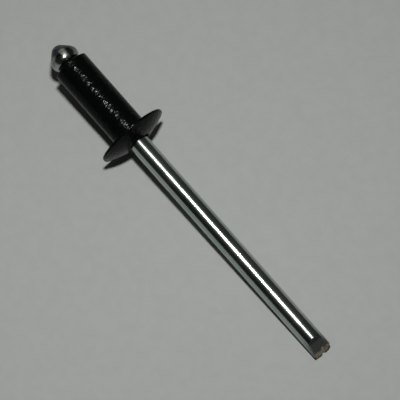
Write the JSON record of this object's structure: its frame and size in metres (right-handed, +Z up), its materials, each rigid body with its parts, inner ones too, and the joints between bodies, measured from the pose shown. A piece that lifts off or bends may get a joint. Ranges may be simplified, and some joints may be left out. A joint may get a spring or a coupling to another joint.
{
  "type": "blind rivet",
  "caption": "Domed-head blind rivet: a hollow black shank and flange on a bright steel mandrel, whose head is pulled into the shank to clamp sheets from one side.",
  "frame": {"origin": "centre of the flange's seat, on the axis of the shank", "axes": "+Z up as the rivet lies; +X towards the mandrel's cut tail, level, while the rivet's axis slopes down to the tail by 5.83 degrees; +Y completes the frame"},
  "size_m": [0.0433, 0.008, 0.008],
  "materials": {
    "black_finish": "black, semi-gloss, finely textured",
    "bright_steel": "bright drawn steel, thinly plated"
  },
  "bodies": {
    "root": {"rivet_body": "black_finish", "mandrel": "bright_steel"}
  },
  "joints": []
}
